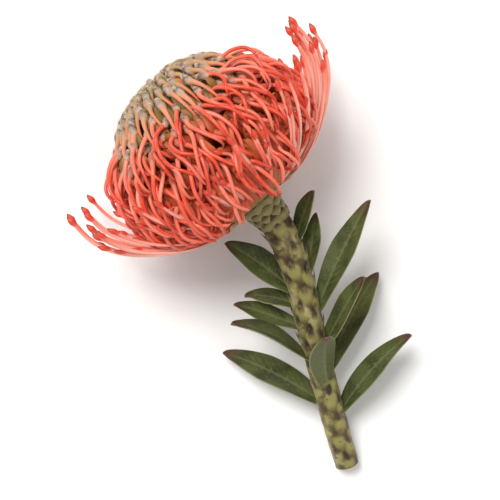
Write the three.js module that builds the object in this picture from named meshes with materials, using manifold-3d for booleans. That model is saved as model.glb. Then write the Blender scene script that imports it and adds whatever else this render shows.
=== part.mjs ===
// Pincushion protea flower: one bloom with its leafy stem, cut and laid on its side on a table.
// Millimetres, +Z up, the table at z = 0. Seen from above, +Y is the top of the view.
// The head is described in its own frame: heights run up its axis from the neck, where the
// stem ends, and turns run round that axis, with turn 0 facing straight up from the table.

import * as THREE from 'three';
import { mergeVertices } from 'three/addons/utils/BufferGeometryUtils.js';
import Module from 'manifold-3d';

const library = await Module();
library.setup();
const { Manifold, Mesh: SolidMesh } = library;

// Pose on the table
const NECK = new THREE.Vector3(5.5, 15.5, 33.5);
const HEAD_HEADING = 131.8; // degrees from +X, seen from above
const HEAD_RISE = 8; // degrees by which the apex is lifted
const BEND_SOFTNESS = 1.5; // how gradually a strand that meets the table turns to lie along it
const SEAT_GAP = 0.3; // clearance between pieces that touch

// Ball of florets, with its centre on the head's axis
const BALL_HEIGHT = 29;
const BALL_FLATTENING = 0.95;
const KNOB_RADIUS = 36; // the woolly tips of the florets lie on this ball
const LOOP_RADIUS = 38.5; // the bowed styles reach this ball
const CORE_RADIUS = 26;
const ROOT_RADIUS = 23; // the florets' roots are sunk into the core down to this ball
const CORE_FOOT_RADIUS = 8.6;
const CORE_FOOT_HEIGHT = 3.3;
const CORE_SIDES = 16;
const CORE_SPLIT = 66; // degrees from the apex where the young florets' core ends

// Florets, larger than life and fewer than on a real head. Of the open ones every second is
// made, in its own place.
const GOLDEN_ANGLE = 137.508;
const OPEN_STEP = 2;
const YOUNG_COUNT = 90;
const LOOPED_COUNT = 124;
const RELEASED_COUNT = 40;
const YOUNG_SPREAD = 48; // degrees from the apex to the outermost young floret
const LOOPED_FROM = 55; // degrees from the apex to the first and last looped floret's tip
const LOOPED_TO = 97;
const LOOPED_ROOT_FROM = 77; // and to their roots
const LOOPED_ROOT_TO = 108;
const LOOP_SPAN_FROM = 36; // degrees that the first and last bowed style reaches beyond its tip
const LOOP_SPAN_TO = 32;
const LOWEST_POLAR = 124; // no bow reaches further round the ball than this
const LOOP_FALL_RADIUS = 28; // where the bow dives back between the florets
const STYLE_RADIUS = 0.85;
const TUBE_FOOT = 1.2; // half widths of a floret's tube at its foot, woolly tip and end
const YOUNG_TIP = 1.85;
const OPEN_TIP = 2.2;
const TIP_END = 1.1;
const TIP_LENGTH = 3.5;

// Released styles in two rows, and the spent tube beside each root, as radii and heights. On the
// side that faces up they have only just come free: they lean on the head and end lower.
const INNER_STYLE = [[12, 13], [28, 12], [36.5, 18], [41.5, 28], [42, 40], [38, 50]];
const OUTER_STYLE = [[8, 5.6], [18, 4.6], [27, 6.2], [35.5, 9.8], [44, 15.5], [51.5, 23], [56, 33], [56.5, 45]];
const SPENT_TUBE = [[16, 12], [25, 10], [30, 12.5], [29, 17]];
const SPENT_TURN = 7;
const PRESENTER_RADIUS = 1.35;
const LEANING_FROM = 0.45; // cosine of the turn from which a released style leans on the head
const LEANING_SHORTER = 0.3;

// Collar of bracts under the head
const COLLAR_FOOT_RADIUS = 6.3;
const COLLAR_WAIST_RADIUS = 7.2;
const COLLAR_TOP_RADIUS = 8.8;
const COLLAR_FOOT = -4;
const COLLAR_TOP = 3;
const BRACTS_A_ROW = 7;
const BRACT_ROWS = 3;
const BRACT_LINE = [[6, -2.6], [8.2, 0.3], [10.1, 3.3]]; // radii and heights, top row
const BRACT_ROW_DROP = 1.6;
const BRACT_HALF_WIDTH = 2.6;

// Stem and its scale bracts, with the route given from the neck
const STEM_ROUTE = [
  [0, 0, 0],
  [6.6, -9.5, -2.4],
  [12.6, -25, -6.6],
  [17.8, -46, -12.9],
  [23.2, -67, -19.4],
  [28.5, -86, -25.4],
  [32.5, -99, -29.8],
];
const STEM_TOP_RADIUS = 6.2;
const STEM_WAIST_RADIUS = 5.2;
const STEM_CUT_RADIUS = 4.6;
const STEM_SIDES = 10;
const STEM_RINGS = 13;
const SCALE_COUNT = 20;
const SCALE_FIRST = 12.5; // distance of the first scale's root below the neck
const SCALE_STEP = 1.9;
const SCALE_LENGTH = 8.5;
const SCALE_HALF_WIDTH = 3;

// Leaves: root below the neck, turn round the stem, lean away from it, length and width, the
// change of lean from the middle to the tip, and roll of the blade round its own midrib
const LEAVES = [
  { root: 17, turn: 75, lean: 39, length: 22, width: 8.5, curl: 4, roll: 55 },
  { root: 35, turn: -88, lean: 39, length: 33, width: 12, curl: 6, roll: -58 },
  { root: 31, turn: 104, lean: 24, length: 25, width: 7.5, curl: -2, roll: 45 },
  { root: 46, turn: 92, lean: 37, length: 49, width: 11, curl: 4, roll: 50 },
  { root: 41, turn: -100, lean: 68, length: 21, width: 9, curl: 12, roll: -50 },
  { root: 50, turn: -98, lean: 58, length: 28, width: 9, curl: 3, roll: -50 },
  { root: 60, turn: 66, lean: 40, length: 36, width: 11, curl: 3, roll: 50 },
  { root: 64, turn: -60, lean: 46, length: 42, width: 13, curl: 12, roll: -40 },
  { root: 70, turn: 120, lean: 50, length: 44, width: 14, curl: 8, roll: 30 },
  { root: 76, turn: 10, lean: 38, length: 38, width: 12, curl: 18, roll: 15 },
  { root: 82, turn: -114, lean: 54, length: 44, width: 14, curl: 8, roll: -30 },
  { root: 88, turn: 92, lean: 56, length: 42, width: 13, curl: 10, roll: 35 },
];
const LEAF_HALF_THICKNESS = 0.55;
const LEAF_SIDES = 6;
const LEAF_RINGS = 8;
const MIDRIB_PIECES = 5;

const UP = new THREE.Vector3(0, 0, 1);
const radians = THREE.MathUtils.degToRad;
const lerp = THREE.MathUtils.lerp;

const heading = radians(HEAD_HEADING);
const rise = radians(HEAD_RISE);
const headAxis = new THREE.Vector3(
  Math.cos(heading) * Math.cos(rise),
  Math.sin(heading) * Math.cos(rise),
  Math.sin(rise),
);
const headSide = new THREE.Vector3().crossVectors(headAxis, UP).normalize();
const headFront = new THREE.Vector3().crossVectors(headSide, headAxis);

// Repeatable value between -0.5 and 0.5
function jitter(index, channel) {
  const wave = Math.sin(index * 12.9898 + channel * 78.233) * 43758.5453;
  return wave - Math.floor(wave) - 0.5;
}

function outward(turn) {
  const angle = radians(turn);
  return headFront.clone().multiplyScalar(Math.cos(angle))
    .addScaledVector(headSide, Math.sin(angle));
}

function headPoint(turn, radius, height) {
  return NECK.clone().addScaledVector(headAxis, height).addScaledVector(outward(turn), radius);
}

function ballPoint(turn, polar, radius) {
  const angle = radians(polar);
  const height = BALL_HEIGHT + BALL_FLATTENING * radius * Math.cos(angle);
  return headPoint(turn, radius * Math.sin(angle), height);
}

// Whatever would sink into the table is bent up to lie along it
function settled(point, restHeight) {
  const above = point.z - restHeight;
  const height = restHeight + (Math.hypot(above, BEND_SOFTNESS) + above) / 2;
  return new THREE.Vector3(point.x, point.y, height);
}

function toSolid(geometry) {
  geometry.deleteAttribute('normal');
  geometry.deleteAttribute('uv');
  const merged = mergeVertices(geometry);
  return new Manifold(new SolidMesh({
    numProp: 3,
    vertProperties: merged.getAttribute('position').array,
    triVerts: Uint32Array.from(merged.index.array),
  }));
}

function toGeometry(solid) {
  const mesh = solid.getMesh();
  const geometry = new THREE.BufferGeometry();
  geometry.setAttribute('position', new THREE.BufferAttribute(mesh.vertProperties, 3));
  geometry.setIndex(new THREE.BufferAttribute(mesh.triVerts, 1));
  geometry.computeVertexNormals();
  return geometry;
}

// The largest connected body, without loose scraps and sealed hollows
function wholeBody(solid) {
  const bodies = solid.decompose();
  return bodies.reduce((best, body) => (body.volume() > best.volume() ? body : best));
}

function aboveTable(solid) {
  return solid.trimByPlane([0, 0, 1], 0);
}

// A strand or blade: a cylinder of few sides bent along a smooth curve. Each ring gives its
// place along the curve, from 0 to 1, its half width across and its half thickness.
function strand(points, rings, across, sides) {
  const curve = new THREE.CatmullRomCurve3(points);
  const lastRing = rings.length - 1;
  const cylinder = new THREE.CylinderGeometry(1, 1, 1, sides, lastRing);
  const place = cylinder.getAttribute('position');
  for (let i = 0; i < place.count; i += 1) {
    const [along, wide, thick] = rings[Math.round((place.getY(i) + 0.5) * lastRing)];
    const forward = curve.getTangent(along);
    const side = across.clone().addScaledVector(forward, -across.dot(forward)).normalize();
    const face = new THREE.Vector3().crossVectors(side, forward);
    const spot = curve.getPoint(along)
      .addScaledVector(side, wide * place.getX(i))
      .addScaledVector(face, thick * place.getZ(i));
    place.setXYZ(i, spot.x, spot.y, spot.z);
  }
  return toSolid(cylinder);
}

function sideAt(turn) {
  return new THREE.Vector3().crossVectors(outward(turn), headAxis);
}

// A lathe turned round the head's axis, from its outline of radii and heights
function headLathe(outline, sides) {
  const profile = outline.map(([radius, height]) => new THREE.Vector2(radius, height));
  const lathe = new THREE.LatheGeometry(profile, sides);
  const frame = new THREE.Matrix4().makeBasis(headFront, headAxis, headSide.clone().negate());
  frame.setPosition(NECK);
  lathe.applyMatrix4(frame);
  return toSolid(lathe);
}

function ballOutline(radius, polars, lift) {
  return polars.map((polar) => {
    const angle = radians(polar);
    const height = BALL_HEIGHT + lift + BALL_FLATTENING * radius * Math.cos(angle);
    return [radius * Math.sin(angle), height];
  });
}

function youngCore() {
  const lift = 1.5 * SEAT_GAP;
  const dome = ballOutline(CORE_RADIUS, [CORE_SPLIT, 44, 22], lift);
  const top = BALL_HEIGHT + lift + BALL_FLATTENING * CORE_RADIUS;
  return headLathe([[0, BALL_HEIGHT + lift], ...dome, [0, top]], CORE_SIDES);
}

function openCore() {
  const waist = ballOutline(CORE_RADIUS, [118, 92, CORE_SPLIT], 0);
  const foot = [[0, CORE_FOOT_HEIGHT], [CORE_FOOT_RADIUS, CORE_FOOT_HEIGHT]];
  return headLathe([...foot, ...waist, [0, BALL_HEIGHT]], CORE_SIDES);
}

function tubeRings(tip) {
  return [[0, TUBE_FOOT, TUBE_FOOT], [0.6, tip, tip], [1, TIP_END, TIP_END]];
}

// A closed floret near the apex: a hairy tube that leans to the apex under its woolly tip
function youngFloret(index) {
  const spread = Math.pow((index + 0.5) / YOUNG_COUNT, 0.6);
  const turn = GOLDEN_ANGLE * index + 5 * jitter(index, 1);
  const tipPolar = YOUNG_SPREAD * spread;
  const rootPolar = tipPolar + 4 + 12 * spread;
  const reach = KNOB_RADIUS + 1.6 * jitter(index, 2);
  const points = [
    ballPoint(turn, lerp(rootPolar, tipPolar, 0.3), ROOT_RADIUS),
    ballPoint(turn, lerp(rootPolar, tipPolar, 0.9), reach - TIP_LENGTH),
    ballPoint(turn, tipPolar, reach),
  ].map((point) => settled(point, TUBE_FOOT));
  return strand(points, tubeRings(YOUNG_TIP), sideAt(turn), 4);
}

// The woolly tube of an open floret, from the core to its tip
function openTube(turn, rootPolar, tipPolar, reach) {
  const points = [
    ballPoint(turn, rootPolar, ROOT_RADIUS),
    ballPoint(turn, lerp(rootPolar, tipPolar, 0.75), reach - TIP_LENGTH),
    ballPoint(turn, tipPolar, reach),
  ].map((point) => settled(point, TUBE_FOOT));
  return strand(points, tubeRings(OPEN_TIP), sideAt(turn), 4);
}

// The style of a looped floret bows out of its tube and returns to the tip that still holds it
function loopedFloret(index) {
  const place = index - YOUNG_COUNT;
  const spread = (place + 0.5) / LOOPED_COUNT;
  const turn = GOLDEN_ANGLE * index + 5 * jitter(index, 1);
  const tipPolar = lerp(LOOPED_FROM, LOOPED_TO, Math.pow(spread, 0.95));
  const rootPolar = lerp(LOOPED_ROOT_FROM, LOOPED_ROOT_TO, spread);
  const reach = KNOB_RADIUS - 0.5 + 1.6 * jitter(index, 2);
  const swing = 9 * jitter(index, 3);
  const freeBow = lerp(LOOP_SPAN_FROM, LOOP_SPAN_TO, spread) + 5 * jitter(index, 4);
  const bow = Math.min(freeBow, LOWEST_POLAR - tipPolar);
  const loopReach = LOOP_RADIUS + 1.5 * jitter(index, 5);
  const points = [
    ballPoint(turn, rootPolar, ROOT_RADIUS - 1),
    ballPoint(turn + swing, tipPolar + bow, LOOP_FALL_RADIUS),
    ballPoint(turn + swing, tipPolar + 0.85 * bow, loopReach - TIP_LENGTH),
    ballPoint(turn + swing, tipPolar + 0.45 * bow, loopReach),
    ballPoint(turn, tipPolar, reach),
  ].map((point) => settled(point, 0.6 * STYLE_RADIUS));
  const rings = [0, 0.25, 0.45, 0.65, 0.83, 1].map((along) => [along, STYLE_RADIUS, STYLE_RADIUS]);
  return [
    openTube(turn, rootPolar, tipPolar, reach),
    strand(points, rings, sideAt(turn), 3),
  ];
}

// A released style springs out of the lower head and curves up like a rib of a cage, with the
// swollen presenter at its end. Its spent tube is left curled beside its root.
function releasedFloret(index) {
  const place = index - YOUNG_COUNT - LOOPED_COUNT;
  const turn = GOLDEN_ANGLE * index + 8 * jitter(index, 1);
  const leaning = Math.cos(radians(turn)) > LEANING_FROM;
  const inner = leaning || Math.floor(place / OPEN_STEP) % 3 === 0;
  const swing = 12 * jitter(index, 3);
  const length = 0.9 + 0.2 * jitter(index, 4) - (leaning ? LEANING_SHORTER : 0);
  const profile = inner ? INNER_STYLE : OUTER_STYLE;
  const points = profile.map(([radius, height], step) => {
    const drift = (swing * step) / profile.length;
    return settled(headPoint(turn + drift, radius, height), 0.6 * STYLE_RADIUS);
  });
  const shaft = [0, 0.17, 0.34, 0.51, 0.68, 0.85];
  const rings = [
    ...shaft.map((along) => [along * length, STYLE_RADIUS, STYLE_RADIUS]),
    [0.9 * length, 0.7, 0.7],
    [0.94 * length, PRESENTER_RADIUS, PRESENTER_RADIUS],
    [length, 0.7, 0.7],
  ];
  const spent = SPENT_TUBE.map(([radius, height]) => (
    settled(headPoint(turn + SPENT_TURN, radius, height), TUBE_FOOT)
  ));
  const spentRings = [0, 0.5, 1].map((along) => [along, TUBE_FOOT, TUBE_FOOT]);
  return [
    strand(points, rings, sideAt(turn), 3),
    strand(spent, spentRings, sideAt(turn), 4),
  ];
}

function floretsFrom(first, count, step, makeFloret) {
  const florets = [];
  for (let index = first; index < first + count; index += step) {
    florets.push(makeFloret(index));
  }
  return florets.flat();
}

function youngFlorets() {
  const florets = floretsFrom(0, YOUNG_COUNT, 1, youngFloret);
  return wholeBody(Manifold.union([youngCore(), ...florets]));
}

function openFlorets() {
  const looped = floretsFrom(YOUNG_COUNT, LOOPED_COUNT, OPEN_STEP, loopedFloret);
  const firstReleased = YOUNG_COUNT + LOOPED_COUNT;
  const released = floretsFrom(firstReleased, RELEASED_COUNT, OPEN_STEP, releasedFloret);
  return wholeBody(aboveTable(Manifold.union([openCore(), ...looped, ...released])));
}

// Collar of overlapping bracts that flares out under the florets
function involucre() {
  const collar = headLathe([
    [0, COLLAR_FOOT],
    [COLLAR_FOOT_RADIUS, COLLAR_FOOT],
    [COLLAR_WAIST_RADIUS, 0],
    [COLLAR_TOP_RADIUS, COLLAR_TOP],
    [0, COLLAR_TOP],
  ], 14);
  const bracts = [];
  for (let i = 0; i < BRACT_ROWS * BRACTS_A_ROW; i += 1) {
    const row = Math.floor(i / BRACTS_A_ROW);
    const turn = (360 / BRACTS_A_ROW) * (i + row / 2) + 6 * jitter(i, 6);
    const drop = BRACT_ROW_DROP * (BRACT_ROWS - 1 - row);
    const points = BRACT_LINE.map(([radius, height], step) => (
      headPoint(turn, radius - 0.25 * drop * step, step === 0 ? height : height - drop)
    ));
    const rings = [[0, 1.2, 0.4], [0.55, BRACT_HALF_WIDTH, 0.55], [1, 0.5, 0.35]];
    bracts.push(strand(points, rings, sideAt(turn), 4));
  }
  return wholeBody(Manifold.union([collar, ...bracts]));
}

const stemCurve = new THREE.CatmullRomCurve3(
  STEM_ROUTE.map(([x, y, z]) => NECK.clone().add(new THREE.Vector3(x, y, z))),
);
const stemLength = stemCurve.getLength();

function stemRadius(fromNeck) {
  const share = fromNeck / stemLength;
  return share < 0.35
    ? lerp(STEM_TOP_RADIUS, STEM_WAIST_RADIUS, share / 0.35)
    : lerp(STEM_WAIST_RADIUS, STEM_CUT_RADIUS, (share - 0.35) / 0.65);
}

// A point beside the stem, with turn 0 straight up from the table
function stemPoint(fromNeck, turn, radius) {
  const share = THREE.MathUtils.clamp(fromNeck / stemLength, 0, 1);
  const forward = stemCurve.getTangentAt(share);
  const side = new THREE.Vector3().crossVectors(UP, forward).normalize();
  const front = new THREE.Vector3().crossVectors(forward, side);
  const angle = radians(turn);
  return stemCurve.getPointAt(share)
    .addScaledVector(front, radius * Math.cos(angle))
    .addScaledVector(side, radius * Math.sin(angle));
}

function stemScale(index, clearance) {
  const root = SCALE_FIRST + SCALE_STEP * index;
  const turn = GOLDEN_ANGLE * index;
  const radius = stemRadius(root);
  const points = [[0, -1.2], [0.45, 0.4], [1, 0.8]].map(([share, lift]) => (
    stemPoint(root - share * (SCALE_LENGTH + clearance), turn, radius + lift)
  ));
  const rings = [[0, 2.2, 0.5], [0.5, SCALE_HALF_WIDTH, 0.6], [1, 0.6, 0.35]].map(
    ([along, wide, thick]) => [along, wide + clearance, thick + clearance],
  );
  const across = new THREE.Vector3().crossVectors(
    stemPoint(root, turn, 1).sub(stemPoint(root, turn, 0)),
    stemCurve.getTangentAt(root / stemLength),
  );
  return strand(points, rings, across, 4);
}

function stemBody(clearance) {
  const points = [];
  const rings = [];
  for (let ring = 0; ring <= STEM_RINGS; ring += 1) {
    const share = ring / STEM_RINGS;
    const radius = stemRadius(share * stemLength) + clearance;
    points.push(stemCurve.getPointAt(share));
    rings.push([share, radius, radius]);
  }
  const scales = [];
  for (let index = 0; index < SCALE_COUNT; index += 1) {
    scales.push(stemScale(index, clearance));
  }
  const across = new THREE.Vector3().crossVectors(UP, stemCurve.getTangentAt(0.5));
  const whole = Manifold.union([strand(points, rings, across, STEM_SIDES), ...scales]);
  const seat = COLLAR_FOOT - SEAT_GAP;
  const below = headAxis.clone().negate();
  return whole.trimByPlane(below.toArray(), below.dot(NECK) - seat);
}

function stem() {
  return wholeBody(aboveTable(stemBody(0)));
}

const stemClearance = stemBody(SEAT_GAP);

// Share of a leaf's half width at each share of its length: narrow foot, widest beyond the
// middle, blunt tip
function leafOutline(share) {
  return 0.16 + 0.84 * Math.pow(Math.sin(Math.PI * Math.pow(share, 1.15)), 0.65);
}

function leaf({ root, turn, lean, length, width, curl, roll }) {
  const share = root / stemLength;
  const forward = stemCurve.getTangentAt(share).negate();
  const out = stemPoint(root, turn, 1).sub(stemPoint(root, turn, 0));
  const points = [stemPoint(root, turn, 0.55 * stemRadius(root))];
  for (let piece = 0; piece < MIDRIB_PIECES; piece += 1) {
    const bend = (2 * piece) / (MIDRIB_PIECES - 1) - 1;
    const angle = radians(lean + curl * bend);
    const step = forward.clone().multiplyScalar(Math.cos(angle)).addScaledVector(out, Math.sin(angle));
    points.push(points.at(-1).clone().addScaledVector(step, length / MIDRIB_PIECES));
  }
  const rings = [];
  for (let ring = 0; ring < LEAF_RINGS; ring += 1) {
    const along = ring / (LEAF_RINGS - 1);
    rings.push([along, (width / 2) * leafOutline(along), LEAF_HALF_THICKNESS]);
  }
  const across = new THREE.Vector3().crossVectors(out, forward)
    .applyAxisAngle(forward, radians(roll));
  const resting = points.map((point) => settled(point, LEAF_HALF_THICKNESS));
  const blade = strand(resting, rings, across, LEAF_SIDES);
  return wholeBody(aboveTable(blade.subtract(stemClearance)));
}

const flower = new THREE.Group();

function addPiece(name, solid, color, roughness) {
  const material = new THREE.MeshStandardMaterial({ color, roughness, metalness: 0 });
  const mesh = new THREE.Mesh(toGeometry(solid), material);
  mesh.name = name;
  flower.add(mesh);
}

addPiece('young_florets', youngFlorets(), 0x8f8a5c, 0.95);
addPiece('open_florets', openFlorets(), 0xe8705c, 0.6);
addPiece('involucre', involucre(), 0x7a7a3c, 0.8);
addPiece('stem', stem(), 0x76783a, 0.8);
LEAVES.forEach((shape, index) => {
  addPiece(`leaf_${String(index + 1).padStart(2, '0')}`, leaf(shape), 0x33441f, 0.55);
});

export default flower;
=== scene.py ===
"""The looks of a cut pincushion protea bloom that lies on its side.

Metres, +Z up, the table at z = 0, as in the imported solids. Lengths below are in millimetres and
angles in degrees. The pose, the stem's route, the collar and the leaves repeat the solids' sizes.
The florets follow the solids' rules, but there are more of them and they are thinner. The head has
its own frame: heights run up its axis from the neck, and turns run round it, with turn 0 facing up.
Polar angles start at the apex of the ball of florets.
"""

import math
from collections import namedtuple

import bmesh
import bpy
from mathutils import Matrix, Quaternion, Vector, noise


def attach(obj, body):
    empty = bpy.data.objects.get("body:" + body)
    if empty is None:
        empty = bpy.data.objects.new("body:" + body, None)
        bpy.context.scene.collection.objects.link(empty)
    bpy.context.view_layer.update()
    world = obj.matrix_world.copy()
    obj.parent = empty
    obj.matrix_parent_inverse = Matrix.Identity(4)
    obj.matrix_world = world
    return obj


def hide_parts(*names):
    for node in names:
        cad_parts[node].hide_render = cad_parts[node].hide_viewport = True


MM = 0.001
UP = Vector((0, 0, 1))
GOLDEN_ANGLE = 137.508

# Pose of the head, and how softly its lowest parts bend where they meet the table
NECK = Vector((5.5, 15.5, 33.5))
HEAD_HEADING = 131.8
HEAD_RISE = 8
BEND_SOFTNESS = 1.5

# Ball of florets
BALL_HEIGHT = 29
BALL_FLATTENING = 0.95
KNOB_RADIUS = 36
LOOP_RADIUS = 38.5
FOOT_RADIUS, TUBE_WAIST_RADIUS = 21, 30
SHEATH_FOOT_RADIUS, SHEATH_WAIST_RADIUS = 20, 28
RECEPTACLE_RADIUS = 23.5
FULLY_RIPE_POLAR = 105

# Young florets round the apex
YOUNG_COUNT = 78
YOUNG_SPREAD = 44
YOUNG_CROWDING = 0.6
YOUNG_SPAN_FROM, YOUNG_SPAN_TO = 12, 34

# Looped florets. Those on the upper side reach farther down the ball than those over the table. The
# last of them bow as far as the lowest polar angle on their side.
LOOPED_COUNT = 330
LOOPED_CROWDING = 0.88
LOOPED_FROM, LOOPED_TO, LOOPED_TO_BELOW = 46, 104, 95
LOWEST_POLAR, LOWEST_POLAR_BELOW = 134, 111
LOOP_SPAN_FROM, LOOP_SPAN_TO = 36, 32
LOOP_FALL_RADIUS = 28
FULL_BOW_FROM, FULL_BOW_OVER = 84, 14
FREED_FROM, FREED_EVERY = 0.55, 3
FREED_BACK = 0.22
FLAP_FROM, FLAP_EVERY, FLAP_LIFT = 0.3, 7, 2.4

# Free styles of the cage, as lines of (radius, height), and their spent sheaths. The cage is open
# where a turn faces up by over OPEN_FROM, but on the right its styles lean over the head's edge up
# to LEANING_TO. RELEASED_FIRST picks the jitter that ends the right rim's styles where they show.
RELEASED_COUNT = 130
RELEASED_FIRST = 1454
OPEN_FROM, LEANING_TO = 0.45, 0.86
STYLE_RADIUS = 0.85
STYLE_STEPS = 13
INNER_STYLE = [
    (7.5, 4.6), (18.5, 6), (28.5, 10), (36.5, 16), (42.5, 23), (46.5, 31), (48, 38), (47.5, 45)
]
OUTER_STYLE = [
    (7.5, 3.6), (18, 3.4), (27, 5.5), (35.5, 9.5), (44, 15.5), (51.5, 23), (56.5, 33), (57, 45)
]
SPLAYS = (0.35, 0.6, 0.85, 1)
SPENT_TUBE = [(7.5, 4), (17, 5.5), (25, 9), (31.5, 14), (34.5, 21), (33.5, 27)]
SPENT_TURN = 7
SPENT_HEIGHT = 27

# Thickness from foot to end, as half widths or as shares of one
TIP_SWELL = (0.55, 0.85, 1, 1.02, 0.95, 0.78, 0.45)
TIP_OVERLAP = 0.35
PRESENTER_RADIUS = 1.15
PRESENTER_STEP = 0.8
PRESENTER_SWELL = (0.5, 0.72, 0.98, 1.05, 0.9, 0.6, 0.2)
HELD_STYLE = (0.55, 0.58, 0.62, 0.65, 0.7, 0.85, 1.15)
FREED_STYLE = (0.55, 0.58, 0.62, 0.65, 0.68, 0.7, 0.6)
RELEASED_STYLE = (0.9, 0.85, 0.78, 0.75, 0.74, 0.74, 0.72, 0.6)
YOUNG_SHEATH = (1.6, 2.4, 2.7, 2.1, 1.1)
PETAL_SHEATH = (1.8, 2.5, 3.0, 2.4, 0.9)
SPENT_SHEATH = (1.3, 1.6, 2.2, 2.8, 2.7, 1.3)
BRACT = (2.4, 3.0, 2.0, 0.25)
SCALE = (1.2, 1.9, 1.8, 0.8, 0.25)

# How high over the table the middle of each strand comes to rest
LOOP_REST = 1.35
SHEATH_REST, SPENT_REST = 3.3, 2.6
BRACT_REST, SCALE_REST = 0.4, 0.3
LEAF_LINE_REST, LEAF_SKIN_REST = 0.8, 0.15

# Profiles. A plant hair is 0.02 thick in life and is drawn five times as thick, so that it shows.
SHEATH_CUP = {"Flatness": 0.12, "Bend": 0.55}
BRACT_CUP = {"Rings": 12, "Sides": 10, "Flatness": 0.16, "Bend": 0.3}
WOOL_SIZES = {"Hairs a square metre": 1.1e6, "Hair length": 0.8 * MM, "Hair radius": 0.05 * MM}

# Stem, with its route given from the neck
STEM_ROUTE = [
    (0, 0, 0),
    (6.6, -9.5, -2.4),
    (12.6, -25, -6.6),
    (17.8, -46, -12.9),
    (23.2, -67, -19.4),
    (28.5, -86, -25.4),
    (32.5, -99, -29.8),
]
STEM_TOP_RADIUS, STEM_WAIST_RADIUS, STEM_CUT_RADIUS = 6.2, 5.2, 4.6
STEM_WAIST_AT = 0.35
STEM_PARTS = 400
STEM_SIDES = 44
STEM_RING_STEP = 0.62
STEM_BARK_SINK = 0.15
CUSHION_HEIGHT, CUSHION_WIDTH = 0.38, 2.9
CUT_INSETS = (1, 0.93, 0.5)

# Scale bracts on the stem, each over a swollen cushion of bark
SCALE_COUNT = 40
CUSHION_COUNT = 79
SCALE_FIRST = 6
SCALE_STEP = 1.3
SCALE_LENGTH = 5.5
SCALE_LINE = [(1.35, -1.3), (0.9, -0.25), (0.42, 0.4), (0, 0.8)]

# Collar of bracts, as lines of (radius, height)
COLLAR_LINE = [(5.2, -6.5), (6.3, -4.2), (7.1, -1.4), (8.0, 1.2), (8.8, 3.0), (8.2, 4.2), (6, 4.6)]
COLLAR_SIDES = 40
BRACTS_A_ROW = 9
BRACT_ROWS = 4
BRACT_ROW_FROM, BRACT_ROW_TO = (6.1, -6.8), (7.4, 0.4)
BRACT_LINE = [(-0.6, -0.8), (0.3, 1.3), (0.8, 3.0), (0.9, 4.8)]

# Leaves: where each leaves the stem, how far it leans from it, and how it curls and rolls
Leaf = namedtuple("Leaf", "root turn lean length width curl roll")
LEAVES = [
    Leaf(17, 75, 39, 22, 8.5, 4, 55),
    Leaf(35, -88, 39, 33, 12, 6, -58),
    Leaf(31, 104, 24, 25, 7.5, -2, 45),
    Leaf(46, 92, 37, 49, 11, 4, 50),
    Leaf(41, -100, 68, 21, 9, 12, -50),
    Leaf(50, -98, 58, 28, 9, 3, -50),
    Leaf(60, 66, 40, 36, 11, 3, 50),
    Leaf(64, -60, 46, 42, 13, 12, -40),
    Leaf(70, 120, 50, 44, 14, 8, 30),
    Leaf(76, 10, 38, 38, 12, 18, 15),
    Leaf(82, -114, 54, 44, 14, 8, -30),
    Leaf(88, 92, 56, 42, 13, 10, 35),
]
LEAF_ROWS, LEAF_COLUMNS_A_SIDE = 44, 9
LEAF_HALF_THICKNESS = 0.45
MIDRIB_WIDTH = 0.7
SIDE_VEIN_STEP, SIDE_VEIN_SLANT = 3.4, 1.5

# Table, light and camera, with the lamps' directions, their spread and their power
TABLE_HALF_SIZE = 3
LAMPS = [("key", (-0.38, 0.48, 1), 30, 2.8), ("fill", (0.7, -0.5, 0.6), 60, 0.6)]
SKY_STRENGTH = 0.45
CAMERA_LENS, CAMERA_HEIGHT = 120, 0.655

scene = bpy.context.scene
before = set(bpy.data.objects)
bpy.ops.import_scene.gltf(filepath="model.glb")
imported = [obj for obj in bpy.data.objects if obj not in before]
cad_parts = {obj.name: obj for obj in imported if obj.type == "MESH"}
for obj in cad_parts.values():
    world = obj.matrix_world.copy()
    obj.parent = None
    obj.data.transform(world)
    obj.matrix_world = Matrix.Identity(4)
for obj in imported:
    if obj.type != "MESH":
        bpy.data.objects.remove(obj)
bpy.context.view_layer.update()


# The head's frame and the rules that place its florets

heading, rise = math.radians(HEAD_HEADING), math.radians(HEAD_RISE)
head_axis = Vector(
    (math.cos(heading) * math.cos(rise), math.sin(heading) * math.cos(rise), math.sin(rise))
)
head_side = head_axis.cross(UP).normalized()
head_front = head_side.cross(head_axis)


def lerp(start, end, share):
    return start + (end - start) * share


def jitter(index, channel):
    """Repeatable value between -0.5 and 0.5."""
    wave = math.sin(index * 12.9898 + channel * 78.233) * 43758.5453
    return wave - math.floor(wave) - 0.5


def outward(turn):
    angle = math.radians(turn)
    return head_front * math.cos(angle) + head_side * math.sin(angle)


def head_point(turn, radius, height):
    return NECK + head_axis * height + outward(turn) * radius


def ball_point(turn, polar, radius):
    angle = math.radians(polar)
    height = BALL_HEIGHT + BALL_FLATTENING * radius * math.cos(angle)
    return head_point(turn, radius * math.sin(angle), height)


def ball_line(places, rest_height):
    """Points over the ball from (turn, polar, radius), bent up where they would meet the table."""
    return [settled(ball_point(*place), rest_height) for place in places]


def ball_out(turn, polar):
    """Direction straight out of the ball."""
    angle = math.radians(polar)
    return outward(turn) * math.sin(angle) + head_axis * math.cos(angle)


def apexward(turn, polar):
    """Direction along the ball's surface towards the apex."""
    nearer = ball_point(turn, polar - 2, KNOB_RADIUS)
    return (nearer - ball_point(turn, polar, KNOB_RADIUS)).normalized()


def settled(point, rest_height):
    """The point, bent up to lie along the table if it would sink into it."""
    above = point.z - rest_height
    height = rest_height + (math.hypot(above, BEND_SOFTNESS) + above) / 2
    return Vector((point.x, point.y, height))


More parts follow.
